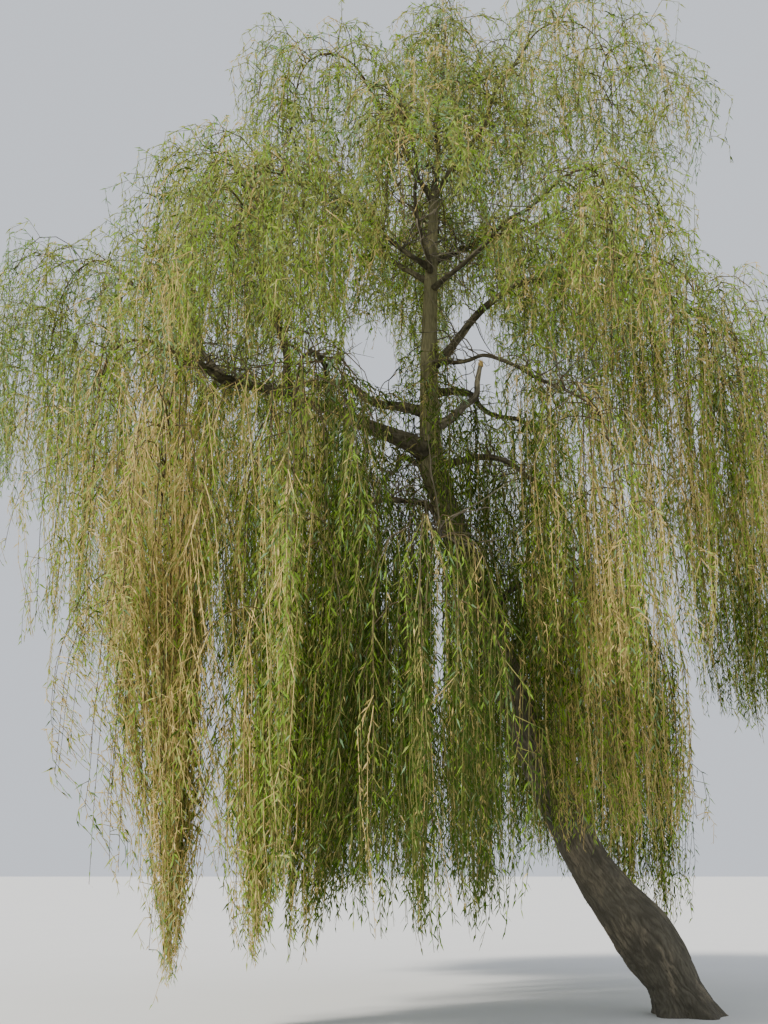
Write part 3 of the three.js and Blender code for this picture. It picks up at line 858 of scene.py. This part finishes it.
# %% Grow one order from another
BRANCHES_TRIED = 170
BRANCHES_A_METRE = 2.5  # for each metre of spread
ABOVE_FOOT = 0.25  # between the lowest branch and the foot of its mass
SHORTEST_BRANCH_FALL = 0.45
STRANDS_TRIED = 64
STRANDS_A_METRE = 6.5
LONGEST_FALL = (3.0, 0.75)  # of a strand, in the curtains and in the dome
LEAST_OF_FALL = (0.6, 0.25)  # the share of that which the shortest strands fall
SHORTEST_FALL = 0.28
TRESS_STEP = 0.5  # how much higher some tresses end than others
DOME_MORE = 2.1  # times as many branches and strands in the dome
BRANCH_POINTS = 10
STRAND_POINTS = 3
CARRIER_POINTS = 40
SHOOTS_TRIED = 60
INNER_SHOOTS = 9
TRUNK_SHOOTS_FROM = 0.6
CHECKED = [0.15, 0.35, 0.55, 0.78, 1.0]  # shares of a new line at which its place is looked at


def wave_in_air(lines, size, seed):
    """The lines moved aside by a sine of their share along, larger towards the free end."""
    rng = np.random.default_rng(seed)
    t = np.linspace(0, 1, lines.shape[1])[None, :, None] ** EASE
    start = rng.uniform(0, 2 * np.pi, (len(lines), 1, 2))
    turns = rng.uniform(3, 8, (len(lines), 1, 2))
    moved = lines.copy()
    moved[..., :2] += (np.sin(start + turns * t) - 0.3 * np.sin(start)) * t * size
    return moved


def grow(parents, parent_mass, ease, tried, kept, roots, shape, points, wave, seed, allowed):
    """Tries a number of lines on each parent, rooted between two shares of its length, and keeps the first
    few that are allowed. The shape gives each line's slope, bend and lowest end, from random numbers and its
    root's place. The last random number is the same for all lines of one parent."""
    rng = np.random.default_rng(seed)
    parent = np.repeat(np.arange(len(parents)), tried)
    mass = parent_mass[parent]
    order = np.tile(np.arange(tried), len(parents))
    chance = rng.random((len(parent), 6))
    chance[:, 5] = rng.random(len(parents))[parent]
    root, _ = on_lines(parents, parent, mix(*roots, chance[:, 0]), ease)
    turn = bearing[mass] + GOLDEN_ANGLE * order + 0.5 * chance[:, 1]
    slope, its_bend, lowest = shape(chance, root, mass)
    made, length = droop(root, headings_of(turn), slope, its_bend, lowest, points)
    free = np.ones(len(parent), dtype=bool)
    for share_of_line in CHECKED:
        place, _ = on_lines(made, np.arange(len(made)), np.full(len(made), share_of_line))
        free &= allowed(place, mass)
    count_so_far = np.cumsum(free.reshape(len(parents), tried), axis=1).ravel()
    keep = free & (count_so_far <= kept[parent])
    waved = wave_in_air(made[keep], wave, seed + 1)
    return {"lines": waved, "length": length[keep], "mass": mass[keep], "parent": parent[keep]}


def in_dome(height):
    """0 in the curtains and 1 in the dome."""
    return smoothstep(5.8, 9.0, height)


def branch_shape(chance, root, mass):
    """A branch starts level or rising, bends within its mass's spread and ends somewhere above the mass's
    foot, the higher the further out it hangs."""
    slope = mix(0.0, 1.3, chance[:, 2])
    its_bend = spread[mass] * rising[mass] * mix(0.15, 0.66, chance[:, 3])
    end = foot[mass] + ABOVE_FOOT + narrowing[mass] * (its_bend / spread[mass]) ** 1.5
    lowest = mix(end, root[:, 2], 0.6 * chance[:, 4])
    return slope, its_bend, np.minimum(lowest, root[:, 2] - SHORTEST_BRANCH_FALL)


def strand_shape(chance, root, mass):
    """A strand stands out a hand's breadth or two and then hangs, to a random share of the way down. The
    strands of one branch end together as a tress, and those far from the mass's middle end higher."""
    dome = in_dome(root[:, 2])
    slope = mix(-0.4, 1.1 + 0.3 * dome, chance[:, 2])
    its_bend = mix(0.06, 0.23, chance[:, 3]) * (1 + 1.8 * dome)
    aside = np.linalg.norm(root[:, :2] - curtain_foot[mass], axis=1) / spread[mass]
    end = foot[mass] + narrowing[mass] * aside**1.5 + TRESS_STEP * chance[:, 5] ** 2
    fall = np.minimum(root[:, 2] - end, mix(*LONGEST_FALL, dome))
    fall *= mix(mix(*LEAST_OF_FALL, dome), 1.0, chance[:, 4] ** 0.6)
    return slope, its_bend, root[:, 2] - np.maximum(fall, SHORTEST_FALL)


stem_lines = wave_in_air(stems, size=0.07, seed=77)
carriers = np.array([
    places_along(np.vstack([bough, stem[1:]]), np.linspace(0, 1, CARRIER_POINTS + 1))
    for bough, stem in zip(outer_boughs, stem_lines)
])
carrier_length = np.linalg.norm(np.diff(carriers, axis=1), axis=2).sum(axis=1)
wanted = BRANCHES_A_METRE * carrier_length * spread * fuller * mix(1, DOME_MORE, in_dome(tip[:, 2]))
branches = grow(
    carriers,
    np.arange(len(names)),
    ease=1,
    tried=BRANCHES_TRIED,
    kept=np.round(wanted).astype(int),
    roots=(0.0, 0.82),
    shape=branch_shape,
    points=BRANCH_POINTS,
    wave=0.03,
    seed=101,
    allowed=is_free,
)


def shoot_shape(chance, root, mass):
    """A shoot from the inner part of a limb bends over within half a metre and falls up to two."""
    its_bend = mix(0.2, 0.6, chance[:, 3])
    return mix(-0.2, 1.0, chance[:, 2]), its_bend, root[:, 2] - mix(0.3, 2.0, chance[:, 4] ** 1.5)


top_of_trunk = places_along(trunk_line, np.linspace(TRUNK_SHOOTS_FROM, 0.99, CARRIER_POINTS + 1))
inner_boughs = [places_along(lines[name], np.linspace(0.04, 0.7, CARRIER_POINTS + 1)) for name in names]
inner = grow(
    np.array(inner_boughs + [top_of_trunk]),
    np.append(np.arange(len(names)), names.index("leader_front")),
    ease=1,
    tried=SHOOTS_TRIED,
    kept=np.array([INNER_SHOOTS] * len(names) + [3 * INNER_SHOOTS]),
    roots=(0.0, 1.0),
    shape=shoot_shape,
    points=BRANCH_POINTS,
    wave=0.04,
    seed=151,
    allowed=is_open,
)
branches = {key: np.concatenate([branches[key], inner[key]]) for key in branches}
branch_height = branches["lines"][:, BRANCH_POINTS // 2, 2]
wanted = STRANDS_A_METRE * branches["length"] * mix(1, DOME_MORE, in_dome(branch_height))
strands = grow(
    branches["lines"],
    branches["mass"],
    ease=EASE,
    tried=STRANDS_TRIED,
    kept=np.round(wanted).astype(int),
    roots=(0.06, 1.0),
    shape=strand_shape,
    points=STRAND_POINTS,
    wave=0.035,
    seed=202,
    allowed=is_open,
)
print("branches", len(branches["lines"]), "strands", len(strands["lines"]))
print("metres of branch", int(branches["length"].sum()), "and of strand", int(strands["length"].sum()))

# %% [markdown]
# ## Thinning
#
# Where two arching branches cross, strands crowd, and elsewhere they are too few. Counting them in a grid of
# boxes shows where. A strand in a crowd is then kept only with a chance, so that no triangles go where
# nobody sees them. The chance differs from branch to branch, because a crown is made of tufts and not of
# felt.

# %% Thin the crowds
BOX = 0.5
ENOUGH = 6.0  # metres of strand in a box of the dome
LOW_ENOUGH = 9.5  # the same in the curtains
FULLER_FEET = 0.6  # how much more there may be at the curtains' ends
CHECKS_A_STRAND = 5
UNEVEN = 0.75  # how much the chances of whole branches differ


def crowding(found):
    """For each line, the mean of the metres of line in the boxes that it passes through."""
    shares = (np.arange(CHECKS_A_STRAND) + 0.5) / CHECKS_A_STRAND
    count = len(found["lines"])
    index = np.repeat(np.arange(count), CHECKS_A_STRAND)
    place, _ = on_lines(found["lines"], index, np.tile(shares, count))
    box = np.floor(place / BOX).astype(int)
    box -= box.min(axis=0)
    weight = np.repeat(found["length"] / CHECKS_A_STRAND, CHECKS_A_STRAND)
    grid = np.zeros(box.max(axis=0) + 1)
    np.add.at(grid, tuple(box.T), weight)
    return grid[tuple(box.T)].reshape(count, CHECKS_A_STRAND).mean(axis=1)


crowd = crowding(strands)
luck = np.random.default_rng(303)
branch_luck = 1 + UNEVEN * luck.uniform(-1, 1, len(branches["lines"]))
enough = mix(LOW_ENOUGH, ENOUGH, in_dome(strands["lines"][:, 0, 2] + 1)) * fuller[strands["mass"]]
enough *= 1 + FULLER_FEET * smoothstep(3.2, 1.2, strands["lines"][:, -1, 2])
kept = luck.random(len(crowd)) < enough / crowd * branch_luck[strands["parent"]]
strands = {key: value[kept] for key, value in strands.items()}
print("crowding from", crowd.min().round(1), "to", crowd.max().round(1), "median", np.median(crowd).round(1))
print("strands left", len(strands["lines"]), "metres", int(strands["length"].sum()))
print("strands in each mass", np.bincount(strands["mass"], minlength=len(names)).tolist())

# %% [markdown]
# ## Tresses
#
# Strands from one branch tangle with each other as they hang. They draw together into a tress that ends in a
# point, with gaps on both sides of it, and that is what gives the curtains their folds.

# %% Draw the strands of a branch together
GATHER = 0.72
WHOLLY_GATHERED = 1.8  # metres of strand, and less is gathered in proportion


def gathered(found, groups):
    """Moves each strand's points level towards the mean end of its group, by GATHER * t squared, where t is
    the share along it, and less where it is short. Some masses are drawn in towards their foot as well."""
    count = np.maximum(np.bincount(found["parent"], minlength=groups), 1)[:, None]
    ends = found["lines"][:, -1, :2]
    total = np.stack([np.bincount(found["parent"], ends[:, k], groups) for k in (0, 1)], axis=-1)
    pull = (total / count)[found["parent"]] - ends
    pull += (curtain_foot[found["mass"]] - ends) * drawn_in[found["mass"], None]
    t = np.linspace(0, 1, STRAND_POINTS + 1) ** EASE
    share = GATHER * t[None] ** 2 * np.clip(found["length"] / WHOLLY_GATHERED, 0, 1)[:, None]
    lines = found["lines"].copy()
    lines[..., :2] += pull[:, None] * share[..., None]
    return lines


strands["lines"] = gathered(strands, len(branches["lines"]))
print("tresses", len(np.unique(strands["parent"])))

# %% [markdown]
# ## Tints
#
# The crown isn't one green. Its outer left side hangs golden in the sun, with young leaves and catkins. The
# dome is olive with cooler leaves at its very edge, and fresh green tips show everywhere. The inside and the
# lower part of the crown get a very dark green, which is painted shade, and strands low at the front right
# get more golden and fresh leaves, which is painted sunlight. So each strand draws its tint with chances
# that depend on where it hangs.

# %% Deal out the tints
TINT_NAMES = list(TINTS)


def tint_chances(place):
    """Chances of the tints at a place, in the order of their names. Each part of the crown rises from 0
    outside it to 1 inside, by smooth steps in x, y or z, and adds to the weights of some tints or takes
    from them."""
    x, y, z = place.T
    outer = smoothstep(-4.8, -5.3, x)
    left = smoothstep(-3.7, -4.7, x) * smoothstep(mix(5.5, 8.4, outer), mix(3.0, 5.5, outer), z)
    left *= smoothstep(1.5, -0.2, y)
    rim = smoothstep(-6.3, -7.6, x)
    # inner and low mark the inside and the lower part of the crown, where the darkest tint paints shade.
    inner = smoothstep(-4.3, -3.5, x) * smoothstep(-1.1, -2.0, x) * smoothstep(7.8, 6.4, z)
    # sunny is painted sunlight: it deals more golden and fresh leaves to strands low at the front right.
    sunny = smoothstep(-2.2, -1.4, x) * smoothstep(0.4, -0.3, y) * smoothstep(9.0, 7.0, z)
    low = smoothstep(6.5, 3.5, z) * (1 - left) * (1 - sunny)
    edge = smoothstep(8.0, 11.0, z)
    weights = {
        "fresh": 0.3 + 0.1 * low + 0.4 * sunny + 0.3 * left,
        "olive": (0.34 + 0.3 * edge + 0.5 * left + 0.3 * rim) * (1 - 0.8 * inner),
        "gold": 0.07 + 1.4 * left * (1 - 0.7 * rim) * mix(0.35, 1.0, outer) + 0.7 * sunny + 0.15 * edge,
        "shade_green": 0.04 + 0.4 * low + 3.2 * inner + 0.25 * left * (1 - outer),
        "cool": (0.08 + 0.25 * edge + 0.45 * rim) * (1 - 0.8 * inner),
    }
    chances = np.stack([weights[name] for name in TINT_NAMES], axis=-1)
    return chances / chances.sum(axis=1, keepdims=True)


def draw_tints(place, seed):
    """One tint for each place: where a random number falls among the summed chances."""
    drawn = np.random.default_rng(seed).random((len(place), 1))
    passed = drawn > np.cumsum(tint_chances(place), axis=1)
    return passed.sum(axis=1).clip(0, len(TINT_NAMES) - 1)


strand_tint = draw_tints(strands["lines"][:, STRAND_POINTS // 2], seed=707)
branch_tint = draw_tints(branches["lines"][:, BRANCH_POINTS // 2], seed=808)
print("strands of each tint", dict(zip(TINT_NAMES, np.bincount(strand_tint).tolist())))

# %% [markdown]
# ## Wood of the crown
#
# Stems and branches are dark, and the strands on them are golden where the sun reaches and green elsewhere.
# The gold is partly the shoots' own colour and partly painted sunlight, and the darker green is painted
# shade.
# The masses are gathered in four quarters of the crown, so that each joined mesh stays a reasonable size.

# %% Quarters of the crown
STEM_SIDES = 8
STEM_END = 0.005
BRANCH_RADII = (0.0095, 0.003)
STRAND_RADII = (0.0048, 0.0026)
THIN_SIDES = 3
QUARTERS = {
    "left": [n for n in names if n.startswith("bough_left")],
    "low": ["bough_back", "bough_back_right", "bough_right_low", "bough_front", "bough_low_left",
            "bough_low_back", "bough_low_right", "bough_right_thin"],
    "right": ["bough_right", "bough_right_far", "bough_upper_right", "bough_upper_back_right",
              "leader_right"],
    "top": ["leader_left", "leader_middle", "leader_back", "leader_front",
            "bough_upper_left", "bough_upper_back_left"],
}
quarter = np.array([next(q for q, members in enumerate(QUARTERS.values()) if n in members) for n in names])


def foliage_node(bough):
    """The plain model's name for the mass on a bough."""
    return bough.replace("bough", "foliage").replace("leader", "foliage_top")


def side_of(lines):
    """A level direction square with each line's heading."""
    out = lines[:, -1] - lines[:, 0]
    out = np.where(np.abs(out[:, :1]) + np.abs(out[:, 1:2]) < 1e-4, [1.0, 0, 0], out)
    return unit(np.stack([-out[:, 1], out[:, 0], np.zeros(len(out))], axis=-1))


def wood_piece(name, lines, root_radius, tip_radius, sides, finish, fall=0.7):
    """Tapering tubes along the lines, with radius root + (tip - root) * t ** fall."""
    t = np.linspace(0, 1, lines.shape[1])[None] ** fall
    radii = mix(np.reshape(root_radius, (-1, 1)), np.reshape(tip_radius, (-1, 1)), t)
    radii = np.broadcast_to(radii, lines.shape[:2])
    rings = sweep(lines, radii, sides, side_of(lines))
    piece = new_piece(name, rings, ring_faces(len(lines), lines.shape[1], sides), finish)
    return piece


# Painted light: front strands with golden or olive leaves, below the dome unless golden, get the light
# golden wood, and the others the darker green wood as painted shade.
in_sun = np.isin(strand_tint, [TINT_NAMES.index("gold"), TINT_NAMES.index("olive")])
in_sun &= strands["lines"][:, 0, 1] < 1.5
in_sun &= (in_dome(strands["lines"][:, 0, 2]) < 0.5) | (strand_tint == TINT_NAMES.index("gold"))
shoots = [("golden", strand_wood, in_sun), ("green", green_strand_wood, ~in_sun)]
for q, (part, members) in enumerate(QUARTERS.items()):
    of_stems = quarter == q
    of_branches = quarter[branches["mass"]] == q
    of_strands = quarter[strands["mass"]] == q
    thickness = tip_radius[of_stems]
    stem = wood_piece(
        "stems_" + part, stem_lines[of_stems], thickness, STEM_END, STEM_SIDES, branch_wood, fall=0.4
    )
    chosen = branches["lines"][of_branches]
    branch = wood_piece("branches_" + part, chosen, *BRANCH_RADII, THIN_SIDES, branch_wood)
    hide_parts(*[foliage_node(bough) for bough in members])
    made = [stem, branch]
    for hue, finish, of_hue in shoots:
        chosen = strands["lines"][of_strands & of_hue]
        made.append(wood_piece(f"strands_{part}_{hue}", chosen, *STRAND_RADII, THIN_SIDES, finish))
    print(part, [triangle_count(piece) for piece in made], "triangles")

# %% [markdown]
# ## Leaves
#
# Willow leaves are narrow, and in spring they are small and stand a little off the strand before they turn
# down. Each is a blade of two faces, wide near its base, bent down across its widest place and drawn out to
# a long point. They are larger than life, because there are a few hundred thousand of them here and a real
# tree has millions.

# %% Blades along lines
BLADE = np.array([
    # along, aside
    [0.0, 0.0],
    [0.36, 0.5],
    [0.36, -0.5],
    [1.0, 0.0],
])
SAG = 0.22  # of the leaf's length, at its tip
LEAF_WIDTH = 0.19  # of its length
LEAF_TURN = 2.4  # radians round the strand from one leaf to the next
YOUNG_LEAF = 0.75  # the golden leaves are the youngest, and this much as long as the others
STRAYS = 0.15  # the share of leaves whose tint isn't their strand's


def blades(root, way, aside, length, width):
    """Four points for each leaf: root + along * length * way + across * width * aside, less a sag that
    grows as the square of the share along."""
    s, w = BLADE.T
    point = root[:, None] + way[:, None] * (s[:, None] * length[:, None, None])
    point += aside[:, None] * (w[:, None] * width[:, None, None])
    point[..., 2] -= SAG * s**2 * length[:, None]
    return point


def blade_faces(count):
    """Two triangles for each leaf, one towards its root and one towards its tip."""
    base = np.arange(count)[:, None] * len(BLADE)
    return [np.concatenate([base + [0, 2, 1], base + [1, 2, 3]])]


def leaves_on(found, low_spacing, dome_spacing, first, seed):
    """Roots and directions for leaves along the lines, from the share first onwards, wider apart in the
    curtains than in the dome. They leave by turns on all sides and point down and away."""
    rng = np.random.default_rng(seed)
    spacing = mix(low_spacing, dome_spacing, in_dome(found["lines"][:, 0, 2]))
    count = np.maximum((found["length"] * (1 - first) / spacing).astype(int), 2)
    line = np.repeat(np.arange(len(count)), count)
    order = np.arange(len(line)) - np.repeat(np.cumsum(count) - count, count)
    share = first + (1 - first) * (order + rng.random(len(line))) / count[line]
    root, along = on_lines(found["lines"], line, share)
    turn = order * LEAF_TURN + rng.normal(0, 0.5, len(line)) + line
    away = headings_of(turn)
    lean = rng.uniform(0.35, 1.4, len(line))[:, None]
    way = unit(along + away * lean)
    roll = rng.normal(0, 0.7, len(line))[:, None]
    aside = unit(np.cross(way, away) * np.cos(roll) + np.cross(way, np.cross(way, away)) * np.sin(roll))
    return {"line": line, "root": root, "way": way, "aside": aside, "share": share}


strand_leaves = leaves_on(strands, low_spacing=0.065, dome_spacing=0.057, first=0.05, seed=505)
branch_leaves = leaves_on(branches, low_spacing=0.09, dome_spacing=0.062, first=0.2, seed=606)
print("leaves", len(strand_leaves["line"]), "on strands and", len(branch_leaves["line"]), "on branches")


def leaf_pieces(kind, leaves, mass, tint, lengths, seed):
    """A mesh for each tint in each quarter of the crown, and the number of triangles in them all."""
    rng = np.random.default_rng(seed)
    total = 0
    stray = rng.random(len(leaves["line"])) < STRAYS
    tint_of_leaf = np.where(stray, rng.integers(0, len(TINT_NAMES), len(stray)), tint[leaves["line"]])
    length = rng.uniform(*lengths, len(leaves["line"])) * mix(1.05, 0.75, leaves["share"])
    length *= np.where(tint_of_leaf == TINT_NAMES.index("gold"), YOUNG_LEAF, 1.0)
    points = blades(leaves["root"], leaves["way"], leaves["aside"], length, length * LEAF_WIDTH)
    quarter_of_leaf = quarter[mass[leaves["line"]]]
    for q, part in enumerate(QUARTERS):
        for t, tint_name in enumerate(TINT_NAMES):
            chosen = points[(quarter_of_leaf == q) & (tint_of_leaf == t)]
            name = f"leaves_{kind}_{part}_{tint_name}"
            piece = new_piece(name, chosen, blade_faces(len(chosen)), TINTS[tint_name], smooth=False)
            total += triangle_count(piece)
    return total


drawn = leaf_pieces("strand", strand_leaves, strands["mass"], strand_tint, lengths=(0.072, 0.13), seed=909)
drawn += leaf_pieces("branch", branch_leaves, branches["mass"], branch_tint, lengths=(0.07, 0.12), seed=910)
print("leaves", drawn, "triangles")

# %% [markdown]
# ## Bare twigs inside the crown
#
# Through the gaps one sees a tangle of thin bare twigs along the boughs. They rise a little, kink and thin
# out, and they carry no leaves, because the leaves hang outside in the light.

# %% Twigs along the boughs
INNER_TWIGS = 18
TWIG_POINTS = 12
TWIG_RADII = (0.012, 0.003)


def inner_twigs(seed):
    """Lines from each bough, and from the inner half of each leader: away and up at first, then along a
    curve whose direction turns by smooth random amounts, which come from summed random turns."""
    rng = np.random.default_rng(seed)
    outermost = [0.5 if name.startswith("leader") else 0.95 for name in names]
    shares = [rng.uniform(0.1, most, INNER_TWIGS) for most in outermost]
    root = np.concatenate([places_along(lines[name], share) for name, share in zip(names, shares)])
    count = len(root)
    first = unit(rng.normal(0, 1, (count, 3)) * [1, 1, 0.6] + 0.55 * UP)
    turns = rng.normal(0, 0.34, (count, TWIG_POINTS, 3))
    sinking = UP * np.linspace(0, 0.9, TWIG_POINTS)[:, None]
    way = unit(first[:, None] + np.cumsum(turns, axis=1) * 0.8 - sinking)
    step = rng.uniform(0.45, 1.6, (count, 1, 1)) / TWIG_POINTS
    path = np.cumsum(way * step, axis=1)
    path = np.concatenate([np.zeros((count, 1, 3)), path], axis=1)
    return root[:, None] + path


twig_lines = inner_twigs(111)
twigs = wood_piece("inner_twigs", twig_lines, *TWIG_RADII, THIN_SIDES, twig_wood)
print("inner twigs", triangle_count(twigs), "triangles")

# %% [markdown]
# ## Floor, light and camera
#
# The studio is plain: a pale floor, pale air all round and one soft sun from the upper left behind the
# viewer, as in the photograph. The camera stands at the height of the eyes and looks up a little, so that
# the horizon lies low in the picture.

# %% Studio
EYE = (-3.358, -13.177, 1.6)
PITCH = 17.65  # degrees above level
FOCAL_PIXELS = 1100.0
IMAGE_HEIGHT = 1024
FLOOR_SIDE = 240.0


def make_floor():
    """One large pale square at ground level."""
    half = FLOOR_SIDE / 2
    corners = [[-half, -half, 0], [half, -half, 0], [half, half, 0], [-half, half, 0]]
    finish = Finish("pale floor")
    tone = finish.noise(finish.place(), 0.8, 3.0)
    pale = finish.blend(tone, colour(0.66, 0.66, 0.65), colour(0.7, 0.7, 0.69))
    inputs = {"Base Color": pale, "Roughness": 0.9}
    material = finish.surface(finish.node("ShaderNodeBsdfPrincipled", None, inputs))
    mesh = bpy.data.meshes.new("floor")
    mesh.from_pydata(corners, [], [[0, 1, 2, 3]])
    mesh.materials.append(material)
    floor = bpy.data.objects.new("floor", mesh)
    bpy.context.scene.collection.objects.link(floor)


def make_light():
    """Pale air and a soft sun."""
    world = bpy.data.worlds.new("studio air")
    world.use_nodes = True
    air = world.node_tree.nodes["Background"]
    air.inputs["Color"].default_value = colour(0.86, 0.91, 1.0)
    air.inputs["Strength"].default_value = 0.92
    bpy.context.scene.world = world
    sun = bpy.data.lights.new("sun", "SUN")
    sun.energy = 5.5
    sun.angle = 0.12
    sun.color = (1.0, 0.95, 0.86)
    lamp = bpy.data.objects.new("sun", sun)
    lamp.rotation_euler = (np.radians(50), 0.0, np.radians(-62))
    bpy.context.scene.collection.objects.link(lamp)


def make_camera():
    """A camera whose focal length in pixels is that of the photograph."""
    data = bpy.data.cameras.new("camera")
    data.sensor_fit = "VERTICAL"
    data.sensor_height = 24.0
    data.lens = FOCAL_PIXELS / IMAGE_HEIGHT * data.sensor_height
    data.clip_end = 400.0
    camera = bpy.data.objects.new("camera", data)
    camera.location = EYE
    camera.rotation_euler = (np.radians(90 + PITCH), 0.0, 0.0)
    bpy.context.scene.collection.objects.link(camera)
    bpy.context.scene.camera = camera
    return data.lens


make_floor()
make_light()
print("lens", round(make_camera(), 2), "mm")
